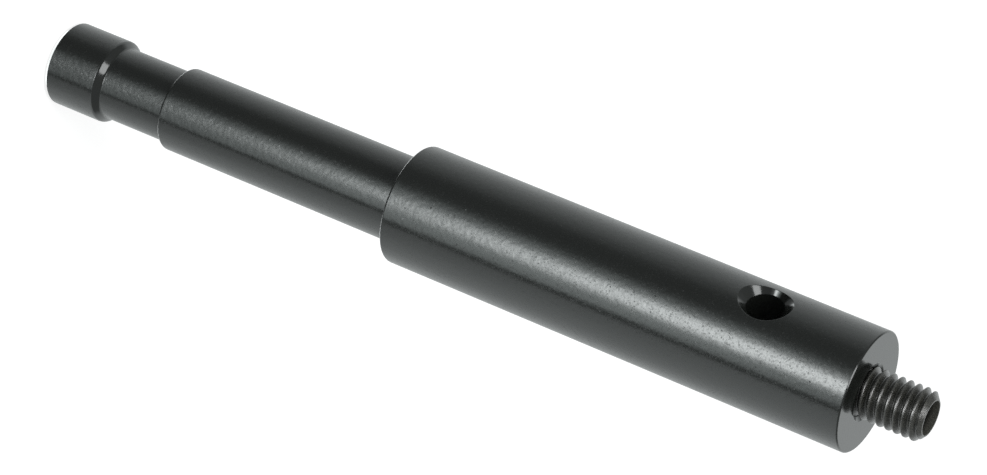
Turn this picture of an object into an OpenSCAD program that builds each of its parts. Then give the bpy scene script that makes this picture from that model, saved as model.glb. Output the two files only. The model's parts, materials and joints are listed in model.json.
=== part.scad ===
// Baby pin: a 5/8 inch lighting pin turned from one bar, with a threaded stud in the end of its base.
// It stands on its head: +Z runs along the axis, and the origin is the middle of the head's flat end.

/* [Head] */
// Diameter of the head
head_d = 15.875; // [14.5:0.125:20]
// Length of the head's cylinder
head_len = 11; // [6:0.25:16]
// Chamfer round the head's free end
head_chamfer = 0.8; // [0.2:0.1:1.5]
// Length of the cone that leads from the head down to the neck
bevel_len = 1.15; // [0.6:0.05:2]
// How far from each of the cone's two corners its rounding starts
bevel_round = 0.3; // [0.1:0.05:0.35]

/* [Neck] */
// Diameter of the undercut neck
neck_d = 13.7; // [9:0.1:14]
// Length of the neck from the cone to the shank's step
neck_len = 13.75; // [8:0.25:20]

/* [Shank] */
// Diameter of the shank, which the receiver clamps
shank_d = 15.875; // [15.25:0.125:18]
// Length of the shank
shank_len = 50.7; // [30:0.1:80]
// Radius of the edge at the shank's step to the neck
shank_round = 0.5; // [0.1:0.05:0.6]

/* [Base] */
// Diameter of the base
base_d = 22.225; // [20:0.125:30]
// Length of the base
base_len = 92; // [60:0.5:120]
// Radius of the edge at the base's step to the shank
step_round = 0.5; // [0.1:0.05:0.8]
// Chamfer round the end face that the stud stands on
end_chamfer = 0.2; // [0.1:0.05:0.8]
// Radius that the turning tool leaves in the two inner corners
tool_radius = 0.4; // [0.1:0.05:0.5]

/* [Cross hole] */
// Diameter of the hole through the base
cross_d = 6.8; // [3:0.1:8]
// Distance from the end face to the middle of the hole
cross_from_end = 20.4; // [18:0.1:30]
// Diameter of its countersinks, on the crown of the base
cross_sink_d = 10; // [8.5:0.1:12]
// Full angle of its countersinks
cross_sink_angle = 90; // [82:1:100]

/* [Threaded stud] */
// Diameter over the crests of the thread
stud_d = 9.4; // [8:0.1:10]
// Whole length of the stud
stud_len = 22.3; // [20:0.1:23]
// Length that stands out of the end face
stud_out = 11.9; // [10:0.1:14]
// Diameter of the stud's free end, inside its chamfer
stud_end_d = 6.8; // [6.8:0.1:9]
// Length of the chamfers at both ends of the stud
stud_chamfer = 1.05; // [0.4:0.05:1.5]
// Pitch diameter, where the stud's thread meets the bar's: both are drawn plain there
pitch_d = 8.5; // [7.6:0.1:9]

/* [Hex socket] */
// Size of the key, across the flats of the socket
socket_af = 3.96875; // [3:0.03125:5]
// Depth of the socket from the stud's free end
socket_depth = 6; // [4:0.25:8]
// Diameter of the socket's tapered mouth
socket_mouth_d = 6.3; // [5.8:0.1:6.6]
// Full angle of that mouth
socket_mouth_angle = 33; // [28:1:60]
// Depth, from the stud's free end, of the round recess that the hexagon is broached from
socket_recess = 2.9; // [2:0.1:3.5]
// Width of the ledge that the recess leaves round the hexagon's corners
socket_recess_lip = 0.05; // [0.02:0.01:0.2]

/* [Tapped hole] */
// Gap between the stud and the hole where they meet, on the radius
tap_clearance = 0.05; // [0.02:0.01:0.2]
// Length of the hole beyond the stud's inner end
tap_runout = 0.8; // [0.2:0.1:1.5]
// Width of the hole's countersunk mouth round the stud's crests, on the radius
tap_lip = 0.65; // [0.2:0.05:1.5]
// Full angle of the drill's point
drill_angle = 118; // [90:1:140]

/* [Hidden] */
$fn = 96;

// How far a cutting shape runs past the face that it opens
over = 1;

head_r = head_d / 2;
neck_r = neck_d / 2;
shank_r = shank_d / 2;
base_r = base_d / 2;
cross_r = cross_d / 2;
stud_r = stud_d / 2;
stud_end_r = stud_end_d / 2;
pitch_r = pitch_d / 2;

// Heights of the steps, from the head's flat end
bevel_z = head_len + bevel_len;
neck_z = bevel_z + neck_len;
shank_z = neck_z + shank_len;
end_z = shank_z + base_len;
stud_z = end_z + stud_out;

cross_z = end_z - cross_from_end;
cross_slope = tan(cross_sink_angle / 2);
cross_sink_depth = (cross_sink_d / 2 - cross_r) / cross_slope;

stud_in = stud_len - stud_out;
stud_bevel = stud_r - stud_end_r;

tap_r = pitch_r + tap_clearance;
tap_mouth_r = stud_r + tap_lip;
tap_sink_depth = tap_mouth_r - tap_r;
tap_bottom_z = end_z - stud_in - tap_runout;
tap_point = tap_r / tan(drill_angle / 2);

socket_slope = tan(socket_mouth_angle / 2);
socket_corner_r = socket_af / 2 / cos(30);
socket_recess_r = socket_corner_r + socket_recess_lip;
socket_mouth_depth = (socket_mouth_d / 2 - socket_recess_r) / socket_slope;

// The round that a tool leaves in the corner of a step, where a cylinder of radius r meets a face of width room at z
module corner_round(r, z, room) {
    size = min(tool_radius, room);
    translate([r, z - size])
        difference() {
            square(size);
            translate([size, 0]) circle(size);
        }
}

// Points along the round of an outer edge, from the step's face at z out to the cylinder of radius r
function edge_round(r, z, size) =
    [for (turn = [0:15:90]) [r - size * (1 - sin(turn)), z + size * (1 - cos(turn))]];

// The point at a distance from a corner on the way to another point
function on_way(corner, other, distance) = corner + (other - corner) * distance / norm(other - corner);

// Points along a curve that rounds a corner off, from a distance before it to the same distance after it
function soft_corner(before, corner, after, distance) =
    let (first = on_way(corner, before, distance), last = on_way(corner, after, distance))
    [for (u = [0:0.2:1]) (1 - u) * (1 - u) * first + 2 * u * (1 - u) * corner + u * u * last];

// Half section of the turned bar, with the radius along X and the height along Y
module bar_profile() {
    bevel_top = [head_r, head_len];
    bevel_foot = [neck_r, bevel_z];
    polygon(concat(
        [
            [0, 0],
            [head_r - head_chamfer, 0],
            [head_r, head_chamfer]
        ],
        soft_corner([head_r, head_chamfer], bevel_top, bevel_foot, bevel_round),
        soft_corner(bevel_top, bevel_foot, [neck_r, neck_z], bevel_round),
        [[neck_r, neck_z]],
        edge_round(shank_r, neck_z, shank_round),
        [[shank_r, shank_z]],
        edge_round(base_r, shank_z, step_round),
        [
            [base_r, end_z - end_chamfer],
            [base_r - end_chamfer, end_z],
            [0, end_z]
        ]
    ));
    corner_round(neck_r, neck_z, shank_r - shank_round - neck_r);
    corner_round(shank_r, shank_z, base_r - step_round - shank_r);
}

// Blind hole for the stud: a drill's point, a straight wall and a 45 degree mouth
module tapped_hole() {
    rotate_extrude()
        polygon([
            [0, tap_bottom_z - tap_point],
            [tap_r, tap_bottom_z],
            [tap_r, end_z - tap_sink_depth],
            [tap_mouth_r + over, end_z + over],
            [0, end_z + over]
        ]);
}

// Hole across the base, countersunk where it comes out on both sides
module cross_hole() {
    translate([0, 0, cross_z])
        rotate([0, 90, 0])
            cylinder(r = cross_r, h = base_d + 2 * over, center = true);
    for (side = [0, 180])
        rotate([0, 0, side])
            translate([base_r - cross_sink_depth, 0, cross_z])
                rotate([0, 90, 0])
                    cylinder(
                        r1 = cross_r,
                        r2 = cross_sink_d / 2 + over * cross_slope,
                        h = cross_sink_depth + over
                    );
}

// Hexagonal socket for a key: the hexagon's corners end in a round recess, and a cone leads into that
module hex_socket() {
    translate([0, 0, stud_z - socket_depth])
        cylinder(r = socket_corner_r, h = socket_depth + over, $fn = 6);
    translate([0, 0, stud_z - socket_recess])
        cylinder(r = socket_recess_r, h = socket_recess + over);
    translate([0, 0, stud_z - socket_mouth_depth])
        cylinder(
            r1 = socket_recess_r,
            r2 = socket_mouth_d / 2 + over * socket_slope,
            h = socket_mouth_depth + over
        );
}

// The turned bar: head, bevel, undercut neck, shank and base in one piece
module pin_body() {
    color("#2b2d2e")
        difference() {
            rotate_extrude() bar_profile();
            tapped_hole();
            cross_hole();
        }
}

// The set screw in the end of the base: over its crests where it stands free, at its pitch diameter where it is held
module threaded_stud() {
    color("#3a3836")
        difference() {
            translate([0, 0, end_z])
                rotate_extrude()
                    polygon([
                        [0, -stud_in],
                        [pitch_r - stud_bevel, -stud_in],
                        [pitch_r, stud_chamfer - stud_in],
                        [pitch_r, 0],
                        [stud_r, 0],
                        [stud_r, stud_out - stud_chamfer],
                        [stud_end_r, stud_out],
                        [0, stud_out]
                    ]);
            hex_socket();
        }
}

pin_body();
threaded_stud();
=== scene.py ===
# %% [markdown]
# # A baby pin
#
# A baby pin is a spigot for lamp stands: a bar turned from aluminium and anodised black. It has a
# thick base, a thinner shank that a receiver clamps, and an undercut neck that keeps it from
# slipping out. A steel set screw stands out of the base's end.
#
# The solids come from the imported part, which stands on its head with its axis along +Z. They are
# loaded first. The looks may not outgrow it.

import json

import bmesh
import bpy
import numpy as np
from mathutils import Matrix, Vector


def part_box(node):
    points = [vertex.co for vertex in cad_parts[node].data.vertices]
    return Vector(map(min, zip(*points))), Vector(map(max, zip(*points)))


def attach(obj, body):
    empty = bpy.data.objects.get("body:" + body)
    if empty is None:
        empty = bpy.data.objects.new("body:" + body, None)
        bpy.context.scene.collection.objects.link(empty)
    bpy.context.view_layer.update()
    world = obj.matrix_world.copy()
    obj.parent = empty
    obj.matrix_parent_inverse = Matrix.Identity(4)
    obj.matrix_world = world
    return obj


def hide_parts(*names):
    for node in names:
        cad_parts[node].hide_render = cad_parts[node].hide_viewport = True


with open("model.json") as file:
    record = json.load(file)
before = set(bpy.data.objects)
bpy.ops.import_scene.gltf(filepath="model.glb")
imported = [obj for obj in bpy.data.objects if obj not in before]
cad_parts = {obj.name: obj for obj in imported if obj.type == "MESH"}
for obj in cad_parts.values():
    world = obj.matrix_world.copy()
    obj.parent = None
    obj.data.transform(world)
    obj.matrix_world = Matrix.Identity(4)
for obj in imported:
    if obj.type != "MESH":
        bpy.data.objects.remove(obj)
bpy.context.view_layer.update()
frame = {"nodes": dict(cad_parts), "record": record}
print("nodes:", sorted(frame["nodes"]))

# %% [markdown]
# Blender works in metres, and a turner works in millimetres, so one factor joins the two. The
# places where the part meets other things are its mounts, and they hold the heights and radii that
# the looks need. Reading them here keeps the looks on the solids when the part changes.

# %% Sizes from the part
MM = 0.001

mounts = {mount["name"]: mount for mount in frame["record"]["mounts"]}
stud_low, stud_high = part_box("threaded_stud")
end_z = mounts["seat"]["pos_m"][2]
stud_r = mounts["stud"]["dims"]["r_mm"] * MM

print(f"end face at {end_z / MM:.1f} mm, stud {2 * stud_r / MM:.1f} mm across")

# %% [markdown]
# ## The threaded stud
#
# The real stud is a set screw with a rolled 3/8 inch thread, 16 turns to the inch. The solid is
# plain there, so the thread is made here. It could be a small profile with a Screw modifier, but
# both ends would then need cutting off square. It is worked out as a surface instead, which needs
# no cutting: first the profile, then the way to make a mesh of it, then the sweep.

# %% Profile of the thread
PITCH = 25.4 / 16 * MM
THREAD_DEPTH = 0.92 * MM
CREST_SHARE = 0.11
ROOT_SHARE = 0.07
ROUND_SHARE = 0.3


def thread_depth(turn):
    """How far below the crest the thread lies, for a place counted in pitches from a crest.

    The place is folded to its distance from the nearest crest, 0 to 0.5. The depth is 0 over the
    crest's half width and full over the root's half width, with a straight flank between. A cubic
    step makes up a share of the flank, so that crest and root come out slightly round.
    """
    away = np.abs(turn - np.round(turn))
    flank = (away - CREST_SHARE / 2) / (0.5 - CREST_SHARE / 2 - ROOT_SHARE / 2)
    flank = np.clip(flank, 0, 1)
    eased = flank * flank * (3 - 2 * flank)
    return THREAD_DEPTH * ((1 - ROUND_SHARE) * flank + ROUND_SHARE * eased)


print(f"pitch {PITCH / MM:.4f} mm, crest to root {thread_depth(np.array(0.5)) / MM:.2f} mm")

# %% [markdown]
# Every surface here is a grid of points, rows by columns. A grid becomes a mesh when each four
# neighbours make a face. Where grids meet, or a grid meets itself, points fall on each other.
# Merging those closes the seams and the poles, which saves all bookkeeping at the borders.

# %% From grids to a mesh
MERGE_DISTANCE = 0.002 * MM


def lathe(r, z, angle):
    """Points at a radius from the axis and a height on it, turned round it by an angle."""
    r, z, angle = np.broadcast_arrays(r, z, angle)
    return np.stack([r * np.cos(angle), r * np.sin(angle), z], -1)


def grid_faces(rows, columns):
    """Corner numbers of the quads between neighbouring rows and columns of a grid."""
    here = np.arange(rows - 1)[:, None] * columns + np.arange(columns - 1)
    return np.stack([here, here + 1, here + columns + 1, here + columns], -1).reshape(-1, 4)


def grid_object(name, grids, finish_numbers=(0,)):
    """One object from grids of points, whose faces take the number of their grid's finish."""
    starts = np.cumsum([0, *(grid.shape[0] * grid.shape[1] for grid in grids)])
    quads = [grid_faces(*grid.shape[:2]) + start for grid, start in zip(grids, starts)]
    points = np.concatenate([grid.reshape(-1, 3) for grid in grids])
    mesh = bpy.data.meshes.new(name)
    mesh.from_pydata(points.tolist(), [], np.concatenate(quads).tolist())
    numbers = np.repeat(finish_numbers, [len(faces) for faces in quads])
    mesh.polygons.foreach_set("material_index", numbers.astype(np.int32))
    piece = bpy.data.objects.new(name, mesh)
    bpy.context.collection.objects.link(piece)
    return piece


def close_seams(mesh, sharp_degrees):
    """Merges points that fall on each other and turns faces outwards; sharper edges stay crisp."""
    body = bmesh.new()
    body.from_mesh(mesh)
    bmesh.ops.remove_doubles(body, verts=body.verts, dist=MERGE_DISTANCE)
    bmesh.ops.dissolve_degenerate(body, edges=body.edges, dist=MERGE_DISTANCE / 2)
    bmesh.ops.recalc_face_normals(body, faces=body.faces)
    open_edges = sum(not edge.is_manifold for edge in body.edges)
    body.to_mesh(mesh)
    body.free()
    mesh.shade_smooth()
    mesh.set_sharp_from_angle(angle=np.radians(sharp_degrees))
    print(f"{mesh.name}: {len(mesh.polygons)} faces, {open_edges} open edges")


print(f"a grid of 3 by 4 points has {len(grid_faces(3, 4))} faces")

# %% [markdown]
# The stud's outside is a ribbon: one pitch of the profile, carried up a helix, whose lower border
# lies on the upper border of the turn below it. Its crests then follow the grid, which a plain
# grid of rings could only cut across in steps.
#
# A lathe trims a screw's ends by cutting everything down to a cone. Taking the smallest of several
# radii does the same: the thread, the cones of the two ends, and the wall of the tapped hole.

# %% Ribbon of the thread
COLUMNS = 192
ROWS_PER_PITCH = 20
FIRST_CREST = 0.235 * MM
END_RADIUS = 3.4 * MM
END_CHAMFER = 1.05 * MM
HELD_RADIUS = 4.25 * MM
HOLE_CLEARANCE = 0.05 * MM
HOLE_LIP = 0.65 * MM
INNER_END_R = HELD_RADIUS - (stud_r - END_RADIUS)


def thread_ribbon():
    """One pitch of the profile, swept up a helix that runs past both ends of the stud.

    The height is a turn's share of the climb plus the place across the ribbon. It is held between
    the stud's two ends, so that what runs past an end shrinks onto its circle. The radius is the
    smallest of the thread's, the two end cones' and the tapped hole's.
    """
    turns = int(np.ceil((stud_high.z - stud_low.z) / PITCH)) + 2
    turn = (np.arange(turns * COLUMNS + 1) / COLUMNS)[None, :]
    across = (np.arange(ROWS_PER_PITCH + 1) / ROWS_PER_PITCH)[:, None]
    crest_z = end_z + FIRST_CREST
    first = np.floor((stud_low.z - crest_z) / PITCH) - 1
    z = np.clip(crest_z + (first + turn + across) * PITCH, stud_low.z, stud_high.z)

    thread = stud_r - thread_depth((z - crest_z) / PITCH - turn)
    free_cone = END_RADIUS + (stud_high.z - z) * (stud_r - END_RADIUS) / END_CHAMFER
    inner_cone = INNER_END_R + (z - stud_low.z)
    hole_mouth = stud_r + HOLE_LIP - HOLE_CLEARANCE + (z - end_z)
    hole_wall = np.maximum(HELD_RADIUS, hole_mouth)
    r = np.minimum.reduce([thread, free_cone, inner_cone, hole_wall])
    return lathe(r, z, 2 * np.pi * turn)


ribbon = thread_ribbon()
print(f"ribbon of {ribbon.shape[0]} by {ribbon.shape[1]} points")

# %% [markdown]
# Rings close the ribbon. The free end is hollow: a tapered mouth leads into a round recess, and a
# key's hexagon is broached from the bottom of that. A hexagon could be cut with a boolean, which
# leaves long thin triangles. As rings it needs only another formula for the radius.

# %% Ends of the stud and the key's socket
KEY_FLATS = 3.96875 * MM
SOCKET_DEPTH = 6 * MM
SOCKET_MOUTH_R = 3.15 * MM
SOCKET_TAPER = np.radians(16.5)
RECESS_LIP = 0.05 * MM
RECESS_R = KEY_FLATS / 2 / np.cos(np.pi / 6) + RECESS_LIP
RECESS_DEPTH = 2.9 * MM


def stud_ends():
    """The inner end, the free end's flat ring and the socket, each as rings round the axis.

    A ring has one radius, or for the hexagon the distance to its flats: half the width across
    them over the cosine of the angle from the middle of the nearest flat. Radius 0 is a pole.
    """
    angle = np.arange(COLUMNS + 1) / COLUMNS * 2 * np.pi
    flats = KEY_FLATS / 2 / np.cos(angle % (np.pi / 3) - np.pi / 6)
    mouth_depth = (SOCKET_MOUTH_R - RECESS_R) / np.tan(SOCKET_TAPER)
    inner_end = lathe(np.array([[0], [INNER_END_R]]), stud_low.z, angle)
    free_ring = lathe(np.array([[END_RADIUS], [SOCKET_MOUTH_R]]), stud_high.z, angle)

    rings = np.array([SOCKET_MOUTH_R, RECESS_R, RECESS_R])[:, None] * np.ones_like(angle)
    r = np.vstack([rings, flats, flats, 0 * angle])
    depth = [0, mouth_depth, RECESS_DEPTH, RECESS_DEPTH, SOCKET_DEPTH, SOCKET_DEPTH]
    socket = lathe(r, stud_high.z - np.array(depth)[:, None], angle)
    return inner_end, free_ring, socket


OUTSIDE, SOCKET = 0, 1
threaded_stud = grid_object(
    "threaded_stud_rolled", [ribbon, *stud_ends()], [OUTSIDE, OUTSIDE, OUTSIDE, SOCKET]
)
close_seams(threaded_stud.data, sharp_degrees=28)
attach(threaded_stud, "root")
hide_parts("threaded_stud")

# %% [markdown]
# ## Finishes
#
# A colour is written as the eye reads it off a screen, in hex, and a shader adds up light, so one
# function turns the first into the second. Another adds a node to a material and hands back one of
# its outputs, so that a finish reads from top to bottom like a recipe.

# %% Colour and nodes


def srgb(code):
    """A hex colour as linear values: a straight part near black, and a power of 2.4 above it."""
    values = np.array([int(code[i : i + 2], 16) for i in (1, 3, 5)]) / 255
    linear = np.where(values <= 0.04045, values / 12.92, ((values + 0.055) / 1.055) ** 2.4)
    return (*linear, 1.0)


def add_node(tree, kind, settings=None, out=0, stops=(), **inputs):
    """Adds a node, sets its properties, fills or links its inputs, and gives one of its outputs.

    An input goes by its name with _ for a space, or by its number after a _. A colour ramp takes
    stops, each a place and a grey level from 0 to 1, and runs in straight lines between them.
    """
    node = tree.nodes.new(kind)
    for key, value in (settings or {}).items():
        setattr(node, key, value)
    if stops:
        elements = node.color_ramp.elements
        while len(elements) < len(stops):
            elements.new(1.0)
        for element, (place, level) in zip(elements, stops):
            element.position = place
            element.color = (level, level, level, 1)
    for key, value in inputs.items():
        socket = node.inputs[int(key[1:]) if key[0] == "_" else key.replace("_", " ")]
        if isinstance(value, bpy.types.NodeSocket):
            tree.links.new(value, socket)
        else:
            socket.default_value = value
    return node.outputs[out] if node.outputs else node


def new_finish(name):
    """A material with an empty node tree, and that tree."""
    finish = bpy.data.materials.new(name)
    finish.use_nodes = True
    finish.node_tree.nodes.clear()
    return finish, finish.node_tree


print("mid grey in linear light:", round(srgb("#808080")[0], 3))

# %% [markdown]
# ### Black anodised aluminium
#
# The bar is blasted before it is anodised, and the dyed oxide on it is a thin clear layer over
# black. To the eye that is a near black with a broad satin sheen, and a fine sparkle where single
# grains catch the light. The holes and the end face are cut later and are smoother.
#
# The steps between the two could be painted on by hand. Here the surface itself says which is
# which: on a cylinder round the axis, the normal points straight away from the axis. That also
# gives the exact normal of the cylinder, where a mesh only has its flat facets.

# %% Where the bar is plain and where it is cut
EDGE_BREAK = 0.18 * MM
CUT_LIKENESS, PLAIN_LIKENESS = 0.97, 0.995

anodised, tree = new_finish("blasted_black_anodised_aluminium")
place = add_node(tree, "ShaderNodeTexCoord", out="Object")

# Broken edges: the normal turns over a short way where two faces meet, so an edge shows as a line.
facing = add_node(tree, "ShaderNodeBevel", {"samples": 6}, Radius=EDGE_BREAK)

level = add_node(tree, "ShaderNodeVectorMath", {"operation": "MULTIPLY"}, _0=place, _1=(1, 1, 0))
outwards = add_node(tree, "ShaderNodeVectorMath", {"operation": "NORMALIZE"}, _0=level)
likeness = add_node(
    tree, "ShaderNodeVectorMath", {"operation": "DOT_PRODUCT"}, out="Value", _0=outwards, _1=facing
)
plain = add_node(
    tree, "ShaderNodeMapRange", Value=likeness, From_Min=CUT_LIKENESS, From_Max=PLAIN_LIKENESS
)
true_normal = add_node(
    tree, "ShaderNodeMix", {"data_type": "VECTOR"}, out=1, _0=plain, _4=facing, _5=outwards
)
print(f"edges broken over {EDGE_BREAK / MM:.2f} mm")

# %% [markdown]
# Blasting leaves two sizes of unevenness. Soft dents about as wide as the shot make the sheen's
# edge wander a little. On them lie the grains: each is its own small facet, and only a few lean so
# far that they show. A Voronoi pattern gives one random vector to each cell, and a high power of
# its length leaves just those few. Real grains are some 0.05 mm, too fine for the picture, so they
# are drawn as coarse as they need to be to show.

# %% Dents and grains
DENT = 1.0 * MM
DENT_DEPTH = 0.02 * MM
GRAIN = 0.26 * MM
LEAN = 0.3
LEAN_POWER = 5.0

dents = add_node(tree, "ShaderNodeTexNoise", Vector=place, Scale=1 / DENT, Detail=1.0)
dented = add_node(
    tree, "ShaderNodeBump", Strength=plain, Distance=DENT_DEPTH, Height=dents, Normal=true_normal
)
cell = add_node(tree, "ShaderNodeTexVoronoi", out="Color", Vector=place, Scale=1 / GRAIN)
tip = add_node(tree, "ShaderNodeVectorMath", {"operation": "SUBTRACT"}, _0=cell, _1=(0.5, 0.5, 0.5))
reach = add_node(tree, "ShaderNodeVectorMath", {"operation": "LENGTH"}, out="Value", _0=tip)
rare = add_node(tree, "ShaderNodeMath", {"operation": "POWER"}, _0=reach, _1=LEAN_POWER)
rare = add_node(tree, "ShaderNodeMath", {"operation": "MULTIPLY"}, _0=rare, _1=plain)
rare = add_node(tree, "ShaderNodeMath", {"operation": "MULTIPLY"}, _0=rare, _1=LEAN)
tip = add_node(tree, "ShaderNodeVectorMath", {"operation": "SCALE"}, _0=tip, Scale=rare)
grained = add_node(tree, "ShaderNodeVectorMath", {"operation": "ADD"}, _0=dented, _1=tip)
grained = add_node(tree, "ShaderNodeVectorMath", {"operation": "NORMALIZE"}, _0=grained)
print(f"dents {DENT / MM:.1f} mm wide, grains {GRAIN / MM:.2f} mm")

# %% [markdown]
# Aluminium oxide has an index of refraction of about 1.7, which gives a stronger sheen than a
# lacquer would. The dye leaves almost no colour of its own. A leaning grain is also a rough one:
# it scatters light from the bright sheen into the dark beside it, so it shows there as a speck.

# %% Sheen of the anodised bar
CUT_ROUGHNESS = 0.13
BLAST_ROUGHNESS = 0.21
GRAIN_ROUGHNESS = 0.14
GRAIN_REACH = (0.5, 0.8)
OXIDE_IOR = 1.7
DYED_BLACK, COLD_SHEEN = "#1d1f1d", "#fcffff"

sheen = add_node(
    tree, "ShaderNodeMapRange", Value=plain, To_Min=CUT_ROUGHNESS, To_Max=BLAST_ROUGHNESS
)
near, far = GRAIN_REACH
coarse = add_node(
    tree, "ShaderNodeMapRange", Value=reach, From_Min=near, From_Max=far, To_Max=GRAIN_ROUGHNESS
)
coarse = add_node(tree, "ShaderNodeMath", {"operation": "MULTIPLY"}, _0=coarse, _1=plain)
roughness = add_node(tree, "ShaderNodeMath", {"operation": "ADD"}, _0=sheen, _1=coarse)
skin = add_node(
    tree,
    "ShaderNodeBsdfPrincipled",
    Base_Color=srgb(DYED_BLACK),
    Roughness=roughness,
    IOR=OXIDE_IOR,
    Specular_Tint=srgb(COLD_SHEEN),
    Normal=grained,
)
add_node(tree, "ShaderNodeOutputMaterial", Surface=skin)

pin_body = frame["nodes"]["pin_body"]
pin_body.data.materials.clear()
pin_body.data.materials.append(anodised)
print(f"{anodised.name}: {len(tree.nodes)} nodes")

# %% [markdown]
# ### Black oxide steel
#
# A set screw is blackened in hot salts and dipped in oil. The oxide is magnetite, which bends light
# strongly, and it grows in fine patches, so the eye sees a warm black with grey flecks and a crisp
# shine on each crest. In the socket the steel gets a dull, weak sheen, and it is painted darker
# with
# depth, down to black: painted shade for the little light that reaches into the recess.
#
# A noise pattern the width of a fleck gives both the flecks and a slight relief. The socket is the
# same recipe with other numbers, so one function makes both finishes.

# %% Black oxide on the thread and in the socket
FLECK = 0.2 * MM
FLECK_RELIEF = 0.03 * MM
FLECK_RANGE = (0.35, 0.65)
MAGNETITE_IOR = 1.9
# Painted shade: the socket's tone fades to black over this length, and is black from this depth
# down.
PAINTED_SHADE_FADE = 1.0 * MM
SOCKET_PAINTED_SHADE = 1.8 * MM


def black_oxide(name, dark, light, roughness, specular, painted_shade_below):
    """Flecked blackened steel between two tones; painted shade turns it black below a height."""
    finish, tree = new_finish(name)
    place = add_node(tree, "ShaderNodeTexCoord", out="Object")
    noise = add_node(
        tree, "ShaderNodeTexNoise", Vector=place, Scale=1 / FLECK, Detail=2.0, Roughness=0.65
    )
    relief = add_node(tree, "ShaderNodeBump", Strength=1.0, Distance=FLECK_RELIEF, Height=noise)
    low, high = FLECK_RANGE
    fleck = add_node(tree, "ShaderNodeMapRange", Value=noise, From_Min=low, From_Max=high)
    tone = add_node(
        tree,
        "ShaderNodeMix",
        {"data_type": "RGBA"},
        out=2,
        _0=fleck,
        _6=srgb(dark),
        _7=srgb(light),
    )
    height = add_node(tree, "ShaderNodeSeparateXYZ", out="Z", _0=place)
    # Painted shade: below a height the tone darkens to black, where little light reaches.
    lit = add_node(
        tree, "ShaderNodeMapRange", Value=height, From_Min=painted_shade_below, From_Max=painted_shade_below + PAINTED_SHADE_FADE
    )
    tone = add_node(tree, "ShaderNodeVectorMath", {"operation": "SCALE"}, _0=tone, Scale=lit)
    steel = add_node(
        tree,
        "ShaderNodeBsdfPrincipled",
        Base_Color=tone,
        Roughness=roughness,
        IOR=MAGNETITE_IOR,
        Specular_IOR_Level=specular,
        Normal=relief,
    )
    add_node(tree, "ShaderNodeOutputMaterial", Surface=steel)
    return finish


stud_finishes = [
    black_oxide(
        "oiled_black_oxide_steel",
        dark="#131312",
        light="#4c4c46",
        roughness=0.22,
        specular=0.5,
        painted_shade_below=stud_low.z - PAINTED_SHADE_FADE,
    ),
    # The socket: dull, with a weak sheen, and painted shade that turns it black deep down.
    black_oxide(
        "dull_black_oxide_steel_painted_shade",
        dark="#30302d",
        light="#5e5e57",
        roughness=0.55,
        specular=0.06,
        painted_shade_below=stud_high.z - SOCKET_PAINTED_SHADE,
    ),
]
for finish in stud_finishes:
    threaded_stud.data.materials.append(finish)
print("stud finishes:", [finish.name for finish in stud_finishes])

# %% [markdown]
# ## The studio
#
# The photograph looks along the pin from its stud's end, with the pin lying across the picture.
# The pin itself stands, so the camera is the one that turns: it looks down at it from the side and
# is rolled until the axis runs down to the right. Its place, roll and lens come from a fit of the
# outline, in which the known diameters set the scale.

# %% Camera
CAMERA_AZIMUTH = np.radians(44.3)
CAMERA_ELEVATION = np.radians(23.88)
CAMERA_ROLL = np.radians(112.44)
CAMERA_DISTANCE = 690.55 * MM
AIM_HEIGHT = 93.63 * MM
SENSOR_WIDTH = 36.0
LENS = 142.48


def round_axis(azimuth, elevation):
    """Unit vector that leaves the axis at an azimuth from +X and climbs at an elevation."""
    level = np.cos(elevation)
    return Vector((np.cos(azimuth) * level, np.sin(azimuth) * level, np.sin(elevation)))


aim = Vector((0, 0, AIM_HEIGHT))
lens = bpy.data.cameras.new("camera")
lens.lens, lens.sensor_width = LENS, SENSOR_WIDTH
lens.clip_start, lens.clip_end = 0.01, 50
camera = bpy.data.objects.new("camera", lens)
bpy.context.collection.objects.link(camera)
away = round_axis(CAMERA_AZIMUTH, CAMERA_ELEVATION)
upright = (-away).to_track_quat("-Z", "Y").to_matrix()
turned = (upright @ Matrix.Rotation(CAMERA_ROLL, 3, "Z")).to_4x4()
camera.matrix_world = Matrix.Translation(aim + away * CAMERA_DISTANCE) @ turned
bpy.context.scene.camera = camera
print("camera at", [round(value, 3) for value in camera.matrix_world.translation])

# %% [markdown]
# The floor is white paper. Paper lit like the rest would come out a light grey, and more light on
# it would spoil the pin, so the paper glows a little by itself: glow and light together reach
# white, and the pin's shadow still shows on it. Only the camera sees it. A mirror image of it
# would lie across the pin, which in the photograph reflects a room and not a floor.

# %% White paper floor
HALF_FLOOR = 4.0
PAPER_LIT, PAPER_GLOW = 0.5, 0.8

paper, tree = new_finish("white_paper")
lit = add_node(tree, "ShaderNodeBsdfDiffuse", Color=(PAPER_LIT, PAPER_LIT, PAPER_LIT, 1))
glow = add_node(tree, "ShaderNodeEmission", Strength=PAPER_GLOW)
both = add_node(tree, "ShaderNodeAddShader", _0=lit, _1=glow)
add_node(tree, "ShaderNodeOutputMaterial", Surface=both)

corners = np.array([[(-1, -1, 0), (1, -1, 0)], [(-1, 1, 0), (1, 1, 0)]]) * HALF_FLOOR
floor = grid_object("floor", [corners])
floor.data.materials.append(paper)
floor.visible_diffuse = floor.visible_glossy = False
floor.visible_transmission = floor.visible_shadow = False
print(f"floor {2 * HALF_FLOOR:.0f} m square")

# %% [markdown]
# One large softbox hangs above the stud's end. It gives the pale patch on the end chamfer and the
# soft light on the flat faces. An area lamp is brighter to the eye by its power over its area, so
# the power is worked out from how bright it should look.

# %% Upper softbox
SOFTBOX_AZIMUTH = np.radians(17)
SOFTBOX_ELEVATION = np.radians(60.5)
SOFTBOX_WIDTH, SOFTBOX_HEIGHT = 0.62, 1.30
SOFTBOX_DISTANCE = 1.5
SOFTBOX_RADIANCE = 4.4

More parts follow.
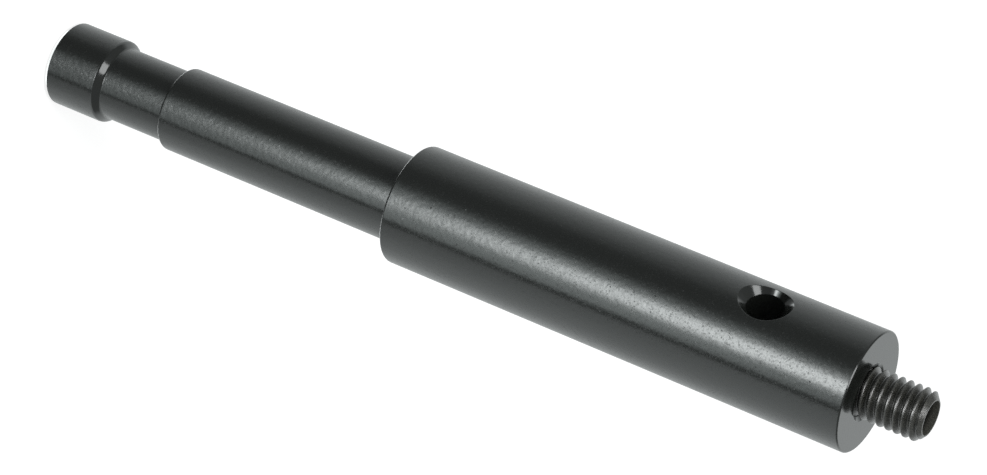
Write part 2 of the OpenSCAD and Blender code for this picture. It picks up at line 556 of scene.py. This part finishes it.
panel = bpy.data.lights.new("upper_softbox", "AREA")
panel.shape, panel.size, panel.size_y = "RECTANGLE", SOFTBOX_WIDTH, SOFTBOX_HEIGHT
panel.energy = SOFTBOX_RADIANCE * np.pi * SOFTBOX_WIDTH * SOFTBOX_HEIGHT
softbox = bpy.data.objects.new("upper_softbox", panel)
bpy.context.collection.objects.link(softbox)
away = round_axis(SOFTBOX_AZIMUTH, SOFTBOX_ELEVATION)
softbox.location = aim + away * SOFTBOX_DISTANCE
softbox.rotation_mode = "QUATERNION"
softbox.rotation_quaternion = (-away).to_track_quat("-Z", "Y")
softbox.visible_camera = False
print(f"softbox of {panel.energy:.1f} W")

# %% [markdown]
# A round bar shows its surroundings as stripes along it, so the stripes say what stood round the
# real one. Its broad pale stripe is a light bank with a hot middle, which dies away towards the
# bar's far end. A second area lamp could give the stripe, but not its soft sides. So the bank is a
# card curved round the pin, with a brightness that changes with the angle and with the height. A
# colour ramp holds each of the two, as stops of a place and a level.

# %% Curved cards
CARD_R = 1.5
CARD_COLUMNS = 60


def shares(stops, low, high, full=1.0):
    """Stops whose places are shares of the way from low to high, and levels shares of the full."""
    return [((place - low) / (high - low), level / full) for place, level in stops]


def curved_card(name, azimuths, heights, finish):
    """Part of an upright cylinder round the pin, between two azimuths and between two heights."""
    azimuth = np.radians(np.linspace(*azimuths, CARD_COLUMNS))
    card = grid_object(name, [lathe(CARD_R, np.array(heights)[:, None], azimuth)])
    card.data.materials.append(finish)
    card.visible_camera = card.visible_diffuse = False
    card.visible_transmission = card.visible_shadow = False
    return card


print(f"cards stand {CARD_R} m from the pin")

# %% [markdown]
# The bank is two such lights in one card: a wide one, and the hot core in the middle of it. The
# wide stripe leans a little on the real bar, so its light leans too, by a few degrees for each
# metre of height. The card stops where the photograph needs no more of it. Higher up it would only
# show from other sides, as a glare along the bar's edge that eats into the outline.

# %% Levels of the light bank
BANK_AZIMUTHS = (16, 98)
BANK_HEIGHTS = (-1.05, -0.14)
WIDE_LEAN, CORE_LEAN = 4, 0
WIDE_FULL, CORE_FULL = 2.5, 11
WIDE_TINT, CORE_TINT = (0.93, 1, 0.99), (0.99, 1, 1)
WIDE_ROUND = [
    (17, 0.3), (23, 0.95), (29, 1.5), (35, 1.95), (43, 2.3), (75, 2.25), (83, 2.1), (86, 1.5),
    (88, 0)
]
WIDE_UP = [
    (-1.05, 0.22), (-0.876, 0.37), (-0.77, 0.57), (-0.66, 0.79), (-0.5, 0.96), (-0.42, 0.96),
    (-0.34, 0.8), (-0.26, 0.4), (-0.14, 0)
]
CORE_ROUND = [
    (32, 0), (38, 1.8), (43, 6.8), (47, 11), (57, 11), (61, 10.3), (65, 3.8), (69, 0.4), (74, 0)
]
CORE_UP = [
    (-0.8, 0), (-0.72, 0.008), (-0.64, 0.072), (-0.57, 0.25), (-0.48, 0.57), (-0.37, 0.91),
    (-0.3, 1), (-0.24, 0.9), (-0.18, 0.4), (-0.14, 0)
]

print(f"wide light {WIDE_FULL} and core {CORE_FULL} times white at most")

# %% Light bank
bank, tree = new_finish("light_bank")
spot = add_node(tree, "ShaderNodeTexCoord", out="Object")
axes = add_node(tree, "ShaderNodeSeparateXYZ", _0=spot).node.outputs
turn = add_node(tree, "ShaderNodeMath", {"operation": "ARCTAN2"}, _0=axes["Y"], _1=axes["X"])
first, last = np.radians(BANK_AZIMUTHS)
low, high = BANK_HEIGHTS
upwards = add_node(tree, "ShaderNodeMapRange", Value=axes["Z"], From_Min=low, From_Max=high)

glows = []
for round_stops, up_stops, full, lean, tint in (
    (WIDE_ROUND, WIDE_UP, WIDE_FULL, WIDE_LEAN, WIDE_TINT),
    (CORE_ROUND, CORE_UP, CORE_FULL, CORE_LEAN, CORE_TINT),
):
    leaning = add_node(
        tree,
        "ShaderNodeMath",
        {"operation": "MULTIPLY_ADD"},
        _0=axes["Z"],
        _1=np.radians(lean),
        _2=turn,
    )
    across = add_node(tree, "ShaderNodeMapRange", Value=leaning, From_Min=first, From_Max=last)
    side = add_node(
        tree, "ShaderNodeValToRGB", stops=shares(round_stops, *BANK_AZIMUTHS, full), Fac=across
    )
    fade = add_node(
        tree, "ShaderNodeValToRGB", stops=shares(up_stops, *BANK_HEIGHTS), Fac=upwards
    )
    glow = add_node(tree, "ShaderNodeVectorMath", {"operation": "MULTIPLY"}, _0=side, _1=fade)
    glow = add_node(tree, "ShaderNodeVectorMath", {"operation": "MULTIPLY"}, _0=glow, _1=tint)
    glows.append(add_node(tree, "ShaderNodeEmission", Color=glow, Strength=full))
both = add_node(tree, "ShaderNodeAddShader", _0=glows[0], _1=glows[1])
add_node(tree, "ShaderNodeOutputMaterial", Surface=both)
light_bank = curved_card("light_bank", BANK_AZIMUTHS, BANK_HEIGHTS, bank)
print(f"bank of {len(light_bank.data.polygons)} faces")

# %% [markdown]
# Below the bank, the bevel behind the head and the countersinks mirror something dark. A black
# cloth under the bank, curved the same way, keeps the room's white out of them.

# %% Black cloth below the bank
CLOTH_AZIMUTHS = (-60, 98)
CLOTH_HEIGHTS = (-5.0, -1.05)

cloth, tree = new_finish("black_cloth")
shade = add_node(tree, "ShaderNodeEmission", Color=srgb("#202020"))
add_node(tree, "ShaderNodeOutputMaterial", Surface=shade)
black_cloth = curved_card("black_cloth", CLOTH_AZIMUTHS, CLOTH_HEIGHTS, cloth)
print(f"cloth of {len(black_cloth.data.polygons)} faces")

# %% [markdown]
# The rest of the room is white, and the world stands for it. Beside the bank it is dark, which
# gives the dark stripe next to the pale one. Some other places differ too:
#
# - low down on the bank's other side it is dimmer;
# - straight behind the pin it is dimmer, so that the outline does not melt into the paper;
# - the ceiling above the photographer is dim, and the bevel, the end face and the thread mirror it;
# - the lit table beyond the pin is bright, as a thin pale line on the steps' rounded edges tells;
# - straight below it is dark, or the bar would look white from above.
#
# Each place is as strong as a direction comes near to its axis, which a dot product tells.

# %% Room
DARK_AXIS = round_axis(np.radians(-2), np.radians(-25))
ROOM_LEVELS = [
    (0, 0.15), (0.015, 0.17), (0.067, 0.44), (0.165, 0.71), (0.297, 0.88), (0.448, 0.97), (1, 1)
]
ROOM_TINT = (0.96, 1, 1)
# For each place: its axis, the dot products where it starts and where it is full, and its level.
ROOM_PLACES = [
    (round_axis(np.radians(105), np.radians(-50)), 0.855, 0.955, 0.6),
    (round_axis(np.radians(224.3), np.radians(-25)), 0.81, 1.0, 0.76),
    (round_axis(np.radians(44.3), np.radians(75)), 0.1, 0.3, 0.3),
    (round_axis(np.radians(224.3), np.radians(-58)), 0.9, 0.96, 3.6),
    (round_axis(0, np.radians(-90)), 0.93, 0.985, 0.3),
]

world = bpy.data.worlds.new("white_room")
bpy.context.scene.world = world
world.use_nodes = True
tree = world.node_tree
tree.nodes.clear()
towards = add_node(tree, "ShaderNodeTexCoord", out="Generated")
dot_product = {"operation": "DOT_PRODUCT"}
nearness = add_node(
    tree, "ShaderNodeVectorMath", dot_product, out="Value", _0=towards, _1=DARK_AXIS
)
share = add_node(tree, "ShaderNodeMapRange", Value=nearness, From_Min=1.0, From_Max=-1.0)
room = add_node(tree, "ShaderNodeValToRGB", stops=ROOM_LEVELS, Fac=share)
for axis, outer, inner, level in ROOM_PLACES:
    nearness = add_node(
        tree, "ShaderNodeVectorMath", dot_product, out="Value", _0=towards, _1=axis
    )
    change = add_node(
        tree,
        "ShaderNodeMapRange",
        Value=nearness,
        From_Min=outer,
        From_Max=inner,
        To_Min=1.0,
        To_Max=level,
    )
    room = add_node(tree, "ShaderNodeVectorMath", {"operation": "SCALE"}, _0=room, Scale=change)
room = add_node(tree, "ShaderNodeVectorMath", {"operation": "MULTIPLY"}, _0=room, _1=ROOM_TINT)
background = add_node(tree, "ShaderNodeBackground", Color=room, Strength=1.0)
add_node(tree, "ShaderNodeOutputWorld", Surface=background)
bpy.context.scene.view_settings.view_transform = "Standard"
print(f"room from {ROOM_LEVELS[0][1]} to {ROOM_LEVELS[-1][1]} of white")
